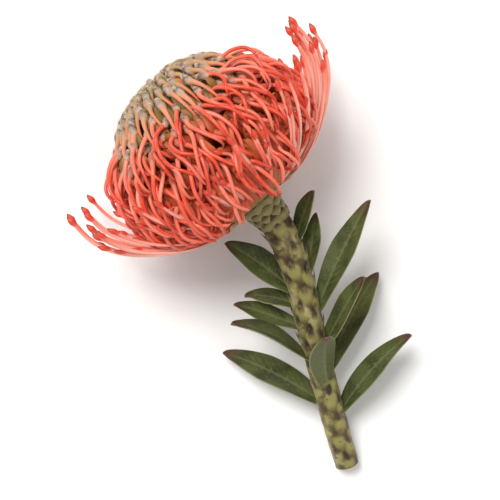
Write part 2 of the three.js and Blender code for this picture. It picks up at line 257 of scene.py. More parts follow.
def curve_point(route, share):
    """Point at that share of a smooth line through the route's points."""
    place = max(0.0, min(share, 1.0)) * (len(route) - 1)
    step = min(int(place), len(route) - 2)
    t = place - step
    a, b, c, d = (route[max(0, min(step + k, len(route) - 1))] for k in (-1, 0, 1, 2))
    square, cube = 2 * a - 5 * b + 4 * c - d, 3 * b - a - 3 * c + d
    return 0.5 * (2 * b + (c - a) * t + square * t * t + cube * t**3)


# Node helpers


def linear(code):
    """The linear colour of an sRGB hex value."""
    parts = [int(code[place : place + 2], 16) / 255 for place in (1, 3, 5)]
    curve = [p / 12.92 if p <= 0.04045 else ((p + 0.055) / 1.055) ** 2.4 for p in parts]
    return (*curve, 1)


def add(tree, kind, inputs=None, stops=None, **settings):
    """Adds a node with its settings.

    An input takes a value, an sRGB hex value, an output, or a node, whose first output is meant.
    """
    made = tree.nodes.new(kind)
    for name, value in settings.items():
        setattr(made, name, value)
    for socket, value in (inputs or {}).items():
        if isinstance(value, bpy.types.Node):
            value = value.outputs[0]
        if isinstance(value, bpy.types.NodeSocket):
            tree.links.new(value, made.inputs[socket])
        elif isinstance(value, str) and value.startswith("#"):
            made.inputs[socket].default_value = linear(value)
        else:
            made.inputs[socket].default_value = value
    for place, (position, code) in enumerate(stops or []):
        elements = made.color_ramp.elements
        element = elements[place] if place < 2 else elements.new(position)
        element.position, element.color = position, linear(code)
    return made


def per(size_mm):
    """Texture scale at which a pattern's features are that many millimetres apart."""
    return 1 / (size_mm * MM)


def new_finish(name, roughness, sheen_tint=None, light_depth_mm=None, **sockets):
    """A material and its tree, with its shader's plain sockets set.

    The light depth is how far light travels in the tissue before it comes out again.
    """
    material = bpy.data.materials.new(name)
    material.use_nodes = True
    shader = material.node_tree.nodes["Principled BSDF"]
    shader.inputs["Roughness"].default_value = roughness
    if sheen_tint:
        shader.inputs["Sheen Tint"].default_value = linear(sheen_tint)
    if light_depth_mm:
        shader.inputs["Subsurface Scale"].default_value = light_depth_mm * MM
    for socket, value in sockets.items():
        shader.inputs[socket.replace("_", " ")].default_value = value
    return material, material.node_tree


def mottle(tree, size_mm, **settings):
    """The uneven growth of tissue: noise with features of that size, fixed to the piece."""
    place = add(tree, "ShaderNodeTexCoord").outputs["Object"]
    pattern = {"Vector": place, "Scale": per(size_mm), "Detail": 3, **settings}
    return add(tree, "ShaderNodeTexNoise", pattern).outputs["Fac"]


def graded(tree, stops, mark="along"):
    """Colours that run with a mark of the piece, from its foot to its end if none is given."""
    if isinstance(mark, str):
        mark = add(tree, "ShaderNodeAttribute", attribute_name=mark).outputs["Fac"]
    return add(tree, "ShaderNodeValToRGB", {"Fac": mark}, stops).outputs[0]


def stained(tree, base, tint, mark, low=None, high=None, most=1):
    """The base with a tint over it, which comes in as the mark goes from low to high.

    With no limits given, the mark itself is the tint's share.
    """
    if isinstance(mark, str):
        mark = add(tree, "ShaderNodeAttribute", attribute_name=mark).outputs["Fac"]
    if low is not None:
        mark = add(
            tree,
            "ShaderNodeMapRange",
            {"Value": mark, "From Min": low, "From Max": high, "To Max": most},
            interpolation_type="SMOOTHSTEP",
        ).outputs[0]
    return add(tree, "ShaderNodeMix", {0: mark, 6: base, 7: tint}, data_type="RGBA").outputs[2]


def covered(material, colour, relief_mm=None, depth_mm=0, strength=1):
    """The material with its colour and a fine relief, with grains of that size and depth."""
    tree = material.node_tree
    shader = tree.nodes["Principled BSDF"]
    tree.links.new(colour, shader.inputs["Base Color"])
    if relief_mm:
        sizes = {"Height": mottle(tree, relief_mm), "Distance": depth_mm * MM, "Strength": strength}
        relief = add(tree, "ShaderNodeBump", sizes).outputs["Normal"]
        tree.links.new(relief, shader.inputs["Normal"])
    return material


# Finishes. Down, felt and pollen are finer than 0.1 in life, too fine to show in the render, so
# their relief is drawn with grains of 0.25 to 0.6. In a style's flesh red light travels farthest.

FLESH = {"Subsurface_Radius": (1, 0.35, 0.2), "light_depth_mm": 1.5}


def waxy_style_finish():
    """Fresh waxy plant tissue, smooth and a little translucent, coral on the bow. The deep red at
    its foot is painted shade, where the style dives into the dark of the head.

    Each style has its own tone, with pale patches 5 long and soft ridges 0.8 apart, as in life.
    """
    material, tree = new_finish("waxy_coral_style", 0.3, Subsurface_Weight=0.1, IOR=1.45, **FLESH)
    # The deep red stops at the foot are painted shade, for the dark deep in the head.
    base = graded(
        tree,
        [(0, "#8c1202"), (0.26, "#ae1c06"), (0.42, "#d03418"), (0.78, "#e65438"), (1, "#e08468")],
    )
    deeper = stained(tree, base, "#d23a1e", "tone", 0.5, 0, 0.7)
    paler = stained(tree, deeper, "#fa917a", "tone", 0.5, 1, 0.75)
    patchy = stained(tree, paler, "#f6886e", mottle(tree, 5), 0.35, 0.7, 0.35)
    return covered(material, patchy, 0.8, 0.04, 0.4)


def released_style_finish():
    """The same tissue once free, which lets more light through: olive at its foot, pink above."""
    material, tree = new_finish(
        "waxy_released_style", 0.3, Subsurface_Weight=0.3, IOR=1.45, **FLESH
    )
    # The pinks above the foot are painted paler than a held style's: painted light, for light
    # shining through the thin free style.
    base = graded(
        tree,
        [(0, "#9a8c54"), (0.2, "#e4a684"), (0.4, "#fda892"), (0.8, "#ffb2a0"), (1, "#f67a64")],
    )
    deeper = stained(tree, base, "#e87462", "tone", 0.45, 1, 0.4)
    patchy = stained(tree, deeper, "#ffb4a2", mottle(tree, 6), 0.35, 0.7, 0.45)
    return covered(material, patchy, 0.8, 0.04, 0.4)


def presenter_finish():
    """Waxy swollen end with pollen on it: orange red, some yellow, with a darker greenish point."""
    material, tree = new_finish(
        "pollen_presenter_wax", 0.4, light_depth_mm=1, Subsurface_Weight=0.1, IOR=1.42
    )
    base = graded(
        tree,
        [(0, "#f0705c"), (0.35, "#de4530"), (0.72, "#dc4c34"), (0.9, "#94502a"), (1, "#4a3a1c")],
    )
    yellow = stained(tree, base, "#ee8436", "tone", 0.62, 0.95, 0.75)
    return covered(material, yellow, 0.5, 0.05, 0.5)


def downy_tube_finish():
    """Closed young floret: thin olive tissue under silvery down, salmon where the style shows."""
    material, tree = new_finish(
        "downy_young_tube", 0.75, sheen_tint="#e8e0cc", Sheen_Weight=0.35, Sheen_Roughness=0.5
    )
    # Each ramp starts dark at the foot as painted shade, where the tube runs down into the head.
    green = graded(tree, [(0, "#4e330e"), (0.35, "#635218"), (0.7, "#7a6c2e"), (1, "#8a7e4a")])
    turning = graded(
        tree,
        [(0, "#a82a10"), (0.35, "#de5034"), (0.62, "#ee7654"), (0.82, "#c48c5c"), (1, "#9c8c60")],
    )
    salmon = graded(
        tree,
        [(0, "#a82a10"), (0.35, "#de5034"), (0.6, "#f07a5c"), (0.85, "#ee8a6c"), (1, "#cc9474")],
    )
    half_ripe = stained(tree, green, turning, "ripe", 0.08, 0.24)
    base = stained(tree, half_ripe, salmon, "ripe", 0.26, 0.42)
    streaked = stained(tree, base, "#c0a070", mottle(tree, 2.2), 0.42, 0.62, 0.3)
    return covered(material, streaked, 0.35, 0.08, 0.7)


def woolly_tip_finish():
    """Felted silvery hair over the closed tip, dull purple where it is worn, coral once ripe."""
    material, tree = new_finish(
        "felted_tip", 0.9, sheen_tint="#f0dcb8", Sheen_Weight=0.14, Sheen_Roughness=0.6
    )
    shift = {"From Min": 0.3, "From Max": 0.7, "To Min": -0.12, "To Max": 0.12}
    ragged = add(
        tree,
        "ShaderNodeMapRange",
        {"Value": mottle(tree, 2.6), **shift},
        interpolation_type="SMOOTHSTEP",
    )
    along = add(tree, "ShaderNodeAttribute", attribute_name="along").outputs["Fac"]
    wandering = add(tree, "ShaderNodeMath", {0: along, 1: ragged}, operation="ADD").outputs[0]
    base = graded(
        tree,
        [(0, "#c46c4a"), (0.2, "#ba967a"), (0.42, "#a48874"), (0.66, "#624440"), (1, "#c2b09c")],
        wandering,
    )
    patchy = stained(tree, base, "#d2c2aa", mottle(tree, 1.3), 0.45, 0.65, 0.5)
    bare = stained(tree, patchy, "#d4523a", "ripe", 0.5, 0.72, 0.8)
    return covered(material, bare, 0.25, 0.12, 0.9)


def wool_finish():
    """Single silvery plant hairs, white to beige, coral on tips that have worn bare."""
    material, tree = new_finish("silver_plant_hair", 0.6, Sheen_Weight=0.3)
    silver = stained(tree, "#f4e6d6", "#d4baa2", "tone")
    return covered(material, stained(tree, silver, "#ea8a70", "ripe", 0.5, 0.72, 0.75))


def sheath_finish():
    """Dry petal tissue behind a style: olive when young, rust later, orange where a flap opened.

    Spent sheaths are olive at the foot and orange brown above. Dry patches are 3 long, as in life.
    """
    material, tree = new_finish(
        "petal_sheath", 0.5, light_depth_mm=1, Subsurface_Weight=0.15, Specular_IOR_Level=0.35
    )
    # Young and ripe sheaths start dark at the foot: painted shade, deep in the head.
    young = graded(tree, [(0, "#6c300a"), (0.4, "#745212"), (0.75, "#786820"), (1, "#8e7a48")])
    old = graded(tree, [(0, "#741002"), (0.4, "#962206"), (0.75, "#b03a14"), (1, "#c46a38")])
    spent = graded(
        tree,
        [(0, "#7c7640"), (0.14, "#887a42"), (0.34, "#b4683e"), (0.6, "#c45230"), (1, "#b86840")],
    )
    opened = stained(tree, young, old, "ripe", 0.42, 0.66)
    base = stained(tree, opened, spent, "ripe", 0.94, 0.98)
    streaked = stained(tree, base, "#a84a16", mottle(tree, 3), 0.4, 0.65, 0.35)
    flap = stained(tree, streaked, "#e8803c", "along", 0.7, 0.9)
    orange = stained(tree, streaked, flap, "tone", 0.96, 0.99)
    return covered(material, orange, 0.5, 0.08, 0.6)


def receptacle_finish():
    """Brown felt of hairs between the florets' feet, seen only as the dark of the gaps."""
    material, tree = new_finish("receptacle_felt", 0.95)
    base = stained(tree, "#a01c02", "#c43c10", mottle(tree, 2.5), 0.35, 0.65)
    return covered(material, base, 0.6, 0.3, 1)


def bract_finish():
    """Downy olive bract, leathery and matt, brown towards its point."""
    material, tree = new_finish(
        "downy_bract", 0.7, sheen_tint="#e4e0c4", Sheen_Weight=0.3, Sheen_Roughness=0.5
    )
    base = graded(
        tree,
        [(0, "#766a42"), (0.35, "#9c9060"), (0.52, "#82743f"), (0.68, "#46301a"), (1, "#2a1a10")],
    )
    patchy = stained(tree, base, "#7d7440", mottle(tree, 1.8), 0.45, 0.65, 0.5)
    return covered(material, patchy, 0.3, 0.08, 0.6)


def stem_finish():
    """Young bark, downy and matt: pale cushions under the scales, darker between them. The dark
    there is the bark's own brown, and painted shade in the hollows.

    Pale patches are 7 across and brown stains 5, as on a cut stem. The cut shows cream wood.
    """
    material, tree = new_finish("downy_young_bark", 0.72, sheen_tint="#e4e0c4", Sheen_Weight=0.25)
    # Brown where the bark is not swollen into a cushion: its own colour, and painted shade in the
    # hollows.
    base = stained(tree, "#483718", "#8c8446", "cushion", 0.15, 0.85)
    paler = stained(tree, base, "#b0a674", mottle(tree, 7), 0.5, 0.66, 0.6)
    brown = stained(tree, paler, "#46331a", mottle(tree, 5, Roughness=0.6), 0.5, 0.62, 0.75)
    scarred = stained(tree, brown, "#2c1e0e", "scar", 0.1, 0.6)
    return covered(material, stained(tree, scarred, "#cdbd92", "cut"), 0.5, 0.12, 0.6)


def leaf_finish():
    """Leathery evergreen leaf: satin dark green, paler veins and margin, red-brown blunt tip.

    Its greens change over 7, and a relief of 0.6 stands for the net of its smallest veins.
    """
    material, tree = new_finish(
        "leathery_leaf", 0.42, light_depth_mm=1, IOR=1.45, Subsurface_Weight=0.05
    )
    green = stained(tree, "#394120", "#525a2e", mottle(tree, 7), 0.35, 0.65)
    under = stained(tree, green, "#565a2c", "underside")
    vein = stained(tree, under, "#84865a", "vein", 0.3, 1, 0.4)
    margin = stained(tree, vein, "#8c8a5a", "across", 0.93, 0.99, 0.7)
    reddish = stained(tree, margin, "#4c2a20", "along", 0.8, 0.97, 0.85)
    tip = stained(tree, reddish, "#6f3a2a", "along", 0.965, 1)
    foot = stained(tree, tip, "#8a8a56", "along", 0.12, 0, 0.6)
    return covered(material, foot, 0.6, 0.05, 0.5)


# What the strands are made of: edges that carry sizes, and one tree that gives them a skin

Strand = namedtuple("Strand", "points girths facing tone ripe")


def placed(name, data):
    """A new object in the scene, at the origin."""
    piece = bpy.data.objects.new(name, data)
    scene.collection.objects.link(piece)
    return piece


def strand_edges(name, strands):
    """A mesh of bare edges along the strands, with what the trees and the finishes read."""
    mesh = bpy.data.meshes.new(name)
    spots, edges, facings = [], [], []
    values = {"girth": [], "tone": [], "ripe": []}
    for strand in strands:
        first = len(spots)
        last_girth = len(strand.girths) - 1
        for step, point in enumerate(strand.points):
            place = step / (len(strand.points) - 1) * last_girth
            low = min(int(place), last_girth - 1)
            girth = lerp(strand.girths[low], strand.girths[low + 1], place - low)
            spots.append(point * MM)
            values["girth"].append(girth * MM)
            values["tone"].append(strand.tone)
            values["ripe"].append(strand.ripe)
            facings.append(strand.facing)
            if step:
                edges.append((first + step - 1, first + step))
    mesh.from_pydata(spots, edges, [])
    for key, numbers in values.items():
        mesh.attributes.new(key, "FLOAT", "POINT").data.foreach_set("value", numbers)
    flat = [part for facing in facings for part in facing]
    mesh.attributes.new("facing", "FLOAT_VECTOR", "POINT").data.foreach_set("vector", flat)
    return mesh


def open_tree(name, sizes):
    """A Geometry Nodes tree with one geometry in and out and a named input for each size."""
    tree = bpy.data.node_groups.new(name, "GeometryNodeTree")
    tree.interface.new_socket("Geometry", in_out="INPUT", socket_type="NodeSocketGeometry")
    for label, value in sizes.items():
        kind = "NodeSocketInt" if isinstance(value, int) else "NodeSocketFloat"
        tree.interface.new_socket(label, in_out="INPUT", socket_type=kind).default_value = value
    tree.interface.new_socket("Geometry", in_out="OUTPUT", socket_type="NodeSocketGeometry")
    return tree, add(tree, "NodeGroupInput").outputs


def close_tree(tree, geometry, material):
    """Ends a tree in real faces with their material."""
    real = add(tree, "GeometryNodeRealizeInstances", {0: geometry})
    painted = add(tree, "GeometryNodeSetMaterial", {0: real, "Material": material})
    add(tree, "NodeGroupOutput", {0: painted})
    return tree


def skin_tree(material):
    """Sweeps a profile along every strand. Flatness below 1 flattens it, and Bend cups it."""
    sizes = {"Rings": 24, "Sides": 8, "Flatness": 1.0, "Bend": 0.0}
    tree, given = open_tree("skin_" + material.name, sizes)
    curve = add(tree, "GeometryNodeMeshToCurve", {0: given["Geometry"]})
    smooth = add(tree, "GeometryNodeCurveSplineType", {0: curve}, spline_type="CATMULL_ROM")
    even = add(tree, "GeometryNodeResampleCurve", {0: smooth, "Count": given["Rings"]})
    facing = add(
        tree, "GeometryNodeInputNamedAttribute", {"Name": "facing"}, data_type="FLOAT_VECTOR"
    )
    faced = add(tree, "GeometryNodeSetCurveNormal", {0: even, "Normal": facing}, mode="FREE")
    factor = add(tree, "GeometryNodeSplineParameter").outputs["Factor"]
    marks = {0: faced, "Name": "along", "Value": factor}
    marked = add(tree, "GeometryNodeStoreNamedAttribute", marks)
    sides = {"Resolution": given["Sides"], "Radius": 1.0}
    circle = add(tree, "GeometryNodeCurvePrimitiveCircle", sides)
    place = add(tree, "GeometryNodeInputPosition")
    parts = add(tree, "ShaderNodeSeparateXYZ", {0: place}).outputs
    times, plus = {"operation": "MULTIPLY"}, {"operation": "ADD"}
    squared = add(tree, "ShaderNodeMath", {0: parts["X"], 1: parts["X"]}, **times)
    cup = add(tree, "ShaderNodeMath", {0: squared, 1: given["Bend"]}, **times)
    thin = add(tree, "ShaderNodeMath", {0: parts["Y"], 1: given["Flatness"]}, **times)
    lift = add(tree, "ShaderNodeMath", {0: cup, 1: thin}, **plus)
    shaped = add(tree, "ShaderNodeCombineXYZ", {0: parts["X"], 1: lift})
    profile = add(tree, "GeometryNodeSetPosition", {0: circle, "Position": shaped})
    girth = add(tree, "GeometryNodeInputNamedAttribute", {"Name": "girth"}, data_type="FLOAT")
    skin = add(
        tree,
        "GeometryNodeCurveToMesh",
        {"Curve": marked, "Profile Curve": profile, "Scale": girth, "Fill Caps": True},
    )
    soft = add(tree, "GeometryNodeSetShadeSmooth", {0: skin})
    return close_tree(tree, soft, material)


def wool_tree(material):
    """Short pointed hairs, strewn over a surface, leaning out of the head and ruffled."""
    tree, given = open_tree(
        "wool", {"Hairs a square metre": 1.0, "Hair length": 1.0 * MM, "Hair radius": 0.1 * MM}
    )
    spread = add(
        tree,
        "GeometryNodeDistributePointsOnFaces",
        {"Mesh": given["Geometry"], "Density": given["Hairs a square metre"], "Seed": 7},
    ).outputs
    cone = {"Vertices": 3, "Radius Top": 0.0, "Radius Bottom": given["Hair radius"]}
    blade = add(
        tree, "GeometryNodeMeshCone", {**cone, "Depth": given["Hair length"]}, fill_type="NONE"
    )
    facing = add(
        tree, "GeometryNodeInputNamedAttribute", {"Name": "facing"}, data_type="FLOAT_VECTOR"
    )
    between = {0: (-0.5, -0.5, -0.5), 1: (0.5, 0.5, 0.5), "Seed": 11}
    scatter = add(tree, "FunctionNodeRandomValue", between, data_type="FLOAT_VECTOR")
    plus = {"operation": "ADD"}
    lean = add(tree, "ShaderNodeVectorMath", {0: spread["Normal"], 1: facing}, **plus)
    ruffled = add(tree, "ShaderNodeVectorMath", {0: lean, 1: scatter}, **plus)
    aim = add(tree, "FunctionNodeAlignRotationToVector", {"Vector": ruffled}, axis="Z")
    between = {2: 0.6, 3: 1.3, "Seed": 13}
    size = add(tree, "FunctionNodeRandomValue", between, data_type="FLOAT").outputs[1]
    hairs = add(
        tree,
        "GeometryNodeInstanceOnPoints",
        {"Points": spread["Points"], "Instance": blade, "Rotation": aim, "Scale": size},
    )
    return close_tree(tree, hairs, material)


def grow(name, source, tree, sizes):
    """The piece that a tree makes of a source mesh, left as a plain mesh with no modifier."""
    seed = placed(name + "_seed", source)
    modifier = seed.modifiers.new("growth", "NODES")
    modifier.node_group = tree
    for item in tree.interface.items_tree:
        if item.in_out == "INPUT" and item.name in sizes:
            modifier[item.identifier] = sizes[item.name]
    evaluated = seed.evaluated_get(bpy.context.evaluated_depsgraph_get())
    mesh = bpy.data.meshes.new_from_object(evaluated)
    mesh.name = name
    bpy.data.objects.remove(seed)
    return placed(name, mesh)


def mount(piece, node, slot):
    """Hangs the piece on the root body and hides the solid it stands for. The slot is not used."""
    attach(piece, "root")
    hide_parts(node)
    return piece


# Florets


def broadside(ahead, out, lean=0):
    """Facing that lays a flat strand's face outwards, tilted about the way it runs."""
    angle = math.radians(lean)
    return ahead.cross(out).normalized() * math.cos(angle) + out * math.sin(angle)


def tip_strand(spot, aim, facing, radius, length, tone, ripe):
    """The swollen woolly end of a floret, from the throat to its point."""
    last = len(TIP_SWELL) - 1
    points = [spot + aim * length * (step / last - TIP_OVERLAP) for step in range(last + 1)]
    return Strand(points, [radius * swell for swell in TIP_SWELL], facing, tone, ripe)


def presenter_strand(spot, aim, facing, size, tone):
    """The swollen end of a free style, which carries the pollen."""
    points = [
        settled(spot + aim * step * PRESENTER_STEP * size, PRESENTER_RADIUS)
        for step in range(-1, len(PRESENTER_SWELL) - 1)
    ]
    girths = [PRESENTER_RADIUS * size * swell for swell in PRESENTER_SWELL]
    return Strand(points, girths, facing, tone, 1)


def young_florets():
    """Short arches: out of the head, over, and back down to a woolly tip that faces the apex.

    Towards the edge they get longer, thicker and riper. Each has a petal sheath behind it.
    """
    tubes, tips, sheaths = [], [], []
    for index in range(YOUNG_COUNT):
        spread = ((index + 0.5) / YOUNG_COUNT) ** YOUNG_CROWDING
        turn = GOLDEN_ANGLE * index + 5 * jitter(index, 1)
        polar = YOUNG_SPREAD * spread
        reach = KNOB_RADIUS - 0.4 + 1.6 * jitter(index, 2)
        span = lerp(YOUNG_SPAN_FROM, YOUNG_SPAN_TO, spread) + 6 * jitter(index, 3)
        swing = 8 * jitter(index, 4)
        ripe = polar / FULLY_RIPE_POLAR
        tone = jitter(index, 5) + 0.5
        points = [
            ball_point(turn + swing, polar + span, FOOT_RADIUS),
            ball_point(turn + swing, polar + span, TUBE_WAIST_RADIUS),
            ball_point(turn + swing, polar + 0.72 * span, reach - 1.2),
            ball_point(turn, polar + 0.35 * span, reach + 0.8),
            ball_point(turn, polar + 1, reach),
        ]
        size = lerp(0.72, 1, spread)
        thin = lerp(1.1, 0.85, spread)
        girths = [size * g for g in (0.55, 0.56 * thin, 0.62 * thin, 0.84 * thin, 1.25)]
        out, ahead = ball_out(turn, polar), apexward(turn, polar)
        tubes.append(Strand(points, girths, out, tone, ripe))
        aim = (ahead + out * 0.35 * spread).normalized()
        tips.append(tip_strand(points[-1], aim, out, 1.65 * size, 6.2 * size, tone, ripe))
        sheath = [
            ball_point(turn, polar + 0.8 * span, SHEATH_FOOT_RADIUS),
            ball_point(turn, polar + 0.75 * span, SHEATH_WAIST_RADIUS),
            ball_point(turn, polar + 0.5 * span, reach - 2.6),
            ball_point(turn, polar + 0.2 * span, reach - 1),
            ball_point(turn, polar + 2, reach - 0.5),
        ]
        facing = broadside(ahead, out, 50 * jitter(index, 6))
        sheaths.append(Strand(sheath, [size * g for g in YOUNG_SHEATH], facing, tone, ripe))
    return tubes, tips, sheaths


def looped_florets():
    """Each style bows out from its foot, over a crest and back to the woolly tip that holds it.

    Low on the head some styles have just let go: they stand free and end in a presenter. Behind
    each style is a petal sheath, folded to one side. Some sheaths end in a flap that stands off.
    """
    styles, tips, presenters, sheaths = [], [], [], []
    for place in range(LOOPED_COUNT):
        index = YOUNG_COUNT + place
        spread = (place + 0.5) / LOOPED_COUNT
        turn = GOLDEN_ANGLE * index + 6 * jitter(index, 1)
        facing_up = max(0, math.cos(math.radians(turn)))
        farthest = lerp(LOOPED_TO_BELOW, LOOPED_TO, facing_up)
        polar = lerp(LOOPED_FROM, farthest, spread**LOOPED_CROWDING)
        reach = KNOB_RADIUS - 1 + 4 * jitter(index, 2)
        swing, sway = 18 * jitter(index, 3), 11 * jitter(index, 10)
        bow = lerp(LOOP_SPAN_FROM, LOOP_SPAN_TO, spread) * (0.82 + 0.62 * jitter(index, 4))
        lowest = lerp(LOWEST_POLAR_BELOW, LOWEST_POLAR, facing_up)
        longest = lowest - polar - 5 * (jitter(index, 13) + 0.5)
        full_bow = max(0, min(1, (polar - FULL_BOW_FROM) / FULL_BOW_OVER))
        bow = lerp(min(bow, longest), longest, full_bow)
        crest = LOOP_RADIUS + 1.8 + 5 * jitter(index, 5)
        tone, ripe = jitter(index, 6) + 0.5, polar / FULLY_RIPE_POLAR
        freed = spread > FREED_FROM and place % FREED_EVERY == 0
        back = FREED_BACK if freed else 0
        route = [
            (turn + 0.3 * swing, polar + 0.8 * bow, FOOT_RADIUS),
            (turn + 0.6 * swing, polar + 0.96 * bow, LOOP_FALL_RADIUS),
            (turn + swing, polar + bow, crest - 3.8),
            (turn + 1.15 * swing, polar + 0.86 * bow, crest - 0.3),
            (turn + 0.95 * swing + sway, polar + 0.55 * bow, crest + 0.3),
            (turn + 0.35 * swing + sway, polar + (0.22 + back) * bow, lerp(reach, crest, 0.6)),
            (turn, polar + back * bow, reach + 9 * back),
        ]
        points = ball_line(route, LOOP_REST)
        out, ahead = ball_out(turn, polar), apexward(turn, polar)
        aim = (points[-1] - points[-2]).normalized()
        if freed:
            styles.append(Strand(points, FREED_STYLE, out, tone, ripe))
            presenters.append(presenter_strand(points[-1], aim, out, 0.85, tone))
        else:
            styles.append(Strand(points, HELD_STYLE, out, tone, ripe))
            size = lerp(0.95, 0.62, spread)
            aim = (aim + ahead).normalized()
            tips.append(tip_strand(points[-1], aim, out, 1.5 * size, 5.6 * size, tone, ripe))
        fold, lift = 16 * jitter(index, 9), 2.6 * jitter(index, 11)
        flap = FLAP_LIFT if place % FLAP_EVERY == 3 and spread > FLAP_FROM else 0
        sheath = [
            (turn, polar + 0.5 * bow, SHEATH_FOOT_RADIUS),
            (turn + fold, polar + 0.66 * bow, SHEATH_WAIST_RADIUS),
            (turn + fold, polar + 0.5 * bow, reach - 2.2 + lift),
            (turn + 0.6 * fold, polar + 0.24 * bow, reach - 0.4 + lift),
            (turn + 2 * flap, polar + 1 + 2 * flap, reach - 0.4 + flap),
        ]
        wide = lerp(1, 1.2, spread)
        facing = broadside(ahead, out, 110 * jitter(index, 12))
        # A tone of 1 is kept for the flaps, which the sheath's finish turns orange
        tone = 1 if flap else 0.9 * tone
        girths = [wide * g for g in PETAL_SHEATH]
        sheaths.append(Strand(ball_line(sheath, SHEATH_REST), girths, facing, tone, ripe))
    return styles, tips, presenters, sheaths


def spent_sheath(index, turn, tone):
    """The empty sheath that a free style has left, beside its foot, twisted and folded open."""
    turn += SPENT_TURN + 6 * jitter(index, 7)
    reach, twist = 1 + 0.2 * jitter(index, 8), 14 * jitter(index, 10)
    points = []
    for radius, height in SPENT_TUBE:
        wide = radius * lerp(1, reach, height / SPENT_HEIGHT)
        point = head_point(turn + twist * height / SPENT_HEIGHT, wide, height)
        points.append(settled(point, SPENT_REST))
    facing = broadside(head_axis, outward(turn), 110 * jitter(index, 9))
    return Strand(points, SPENT_SHEATH, facing, tone, 1)


def released_florets():
    """Free styles that curve up like a cage, each with its presenter and its spent sheath.

    On the upper side the cage is open. Its styles are short there: on the right they lean over the
    head's edge, and elsewhere only every second one is left, close to the head.
    """
    styles, presenters, sheaths = [], [], []
    for place in range(RELEASED_COUNT):
        index = RELEASED_FIRST + place
        turn = GOLDEN_ANGLE * index + 8 * jitter(index, 1)
        swing = 20 * jitter(index, 3)
        splay = min(1, SPLAYS[place % len(SPLAYS)] + 0.25 * jitter(index, 2))
        length = 0.78 + 0.38 * jitter(index, 4)
        tone = jitter(index, 6) + 0.5
        sheaths.append(spent_sheath(index, turn, tone))
        facing_up = math.cos(math.radians(turn))
        on_the_right = math.sin(math.radians(turn)) > 0 and facing_up < LEANING_TO
        if facing_up > OPEN_FROM and on_the_right:
            splay, length = 0.45 * splay - 0.1, 0.66 + 0.3 * jitter(index, 4)
        elif facing_up > OPEN_FROM:
            if place % 2:
                continue
            splay, length = 0.12 * splay - 0.5, 0.5 + 0.36 * jitter(index, 4)
        route = []
        for step, (inner, outer) in enumerate(zip(INNER_STYLE, OUTER_STYLE)):
            radius, height = (lerp(near, far, splay) for near, far in zip(inner, outer))
            point = head_point(turn + swing * step / len(OUTER_STYLE), radius, height)
            route.append(settled(point, STYLE_RADIUS + 0.15))
        steps = range(STYLE_STEPS + 1)
        points = [curve_point(route, length * step / STYLE_STEPS) for step in steps]
        styles.append(Strand(points, RELEASED_STYLE, outward(turn), tone, 1))
        aim = (points[-1] - points[-2]).normalized()
        presenters.append(presenter_strand(points[-1], aim, outward(turn), 1, 0.6 * tone))
    return styles, presenters, sheaths


def receptacle():
    """The body inside the head that carries the florets: a ball, drawn out towards the neck."""
    mesh = bpy.data.meshes.new("receptacle")
    form = bmesh.new()
    bmesh.ops.create_uvsphere(form, u_segments=48, v_segments=28, radius=RECEPTACLE_RADIUS)
    turn = Matrix((head_front, head_side, head_axis)).transposed().to_4x4()
    centre = NECK + head_axis * BALL_HEIGHT
    for vertex in form.verts:
        spot = vertex.co
        spot.z *= BALL_FLATTENING
        if spot.z < 0:
            narrow = lerp(1, 0.75, min(1, -spot.z / RECEPTACLE_RADIUS))
            spot.x, spot.y = spot.x * narrow, spot.y * narrow
            spot.z *= 1.1
        vertex.co = (centre + turn @ spot) * MM
    bmesh.ops.recalc_face_normals(form, faces=form.faces)
    form.to_mesh(mesh)
    form.free()
    mesh.shade_smooth()
    return placed("receptacle", mesh)


def dress_head():
    """Every floret, as one piece for each of its parts, and the receptacle."""
    tip_skin = skin_tree(woolly_tip_finish())
    style_skin = skin_tree(waxy_style_finish())
    sheath_skin = skin_tree(sheath_finish())
    wool = wool_tree(wool_finish())
    tubes, young_tips, young_sheaths = young_florets()
    styles, open_tips, fresh_presenters, sheaths = looped_florets()
    free_styles, presenters, spent = released_florets()
    presenters = fresh_presenters + presenters
    free_skin = skin_tree(released_style_finish())

    def skinned(name, strands, tree, node, slot, **sizes):
        piece = grow(name, strand_edges(name, strands), tree, sizes)
        return mount(piece, node, slot)

    young = "young_florets", "young_floret_wool"
    opened = "open_florets", "coral_style"
    skinned("young_tubes", tubes, skin_tree(downy_tube_finish()), *young, Rings=18, Sides=8)
    tips = skinned("young_tips", young_tips, tip_skin, *young, Rings=8, Sides=10)
    mount(grow("young_tip_wool", tips.data, wool, WOOL_SIZES), *young)
    skinned("young_sheaths", young_sheaths, sheath_skin, *young, Rings=12, Sides=14, **SHEATH_CUP)
    skinned("looped_styles", styles, style_skin, *opened, Rings=26, Sides=8)
    tips = skinned("open_tips", open_tips, tip_skin, *opened, Rings=8, Sides=10)
    mount(grow("open_tip_wool", tips.data, wool, WOOL_SIZES), *opened)
    skinned("petal_sheaths", sheaths, sheath_skin, *opened, Rings=12, Sides=14, **SHEATH_CUP)
    skinned("spent_sheaths", spent, sheath_skin, *opened, Rings=14, Sides=14, **SHEATH_CUP)
    skinned("released_styles", free_styles, free_skin, *opened, Rings=28, Sides=8)
    skinned("presenters", presenters, skin_tree(presenter_finish()), *opened, Rings=9, Sides=10)
    core = receptacle()
    core.data.materials.append(receptacle_finish())
    mount(core, *opened)


# Collar, stem and leaves


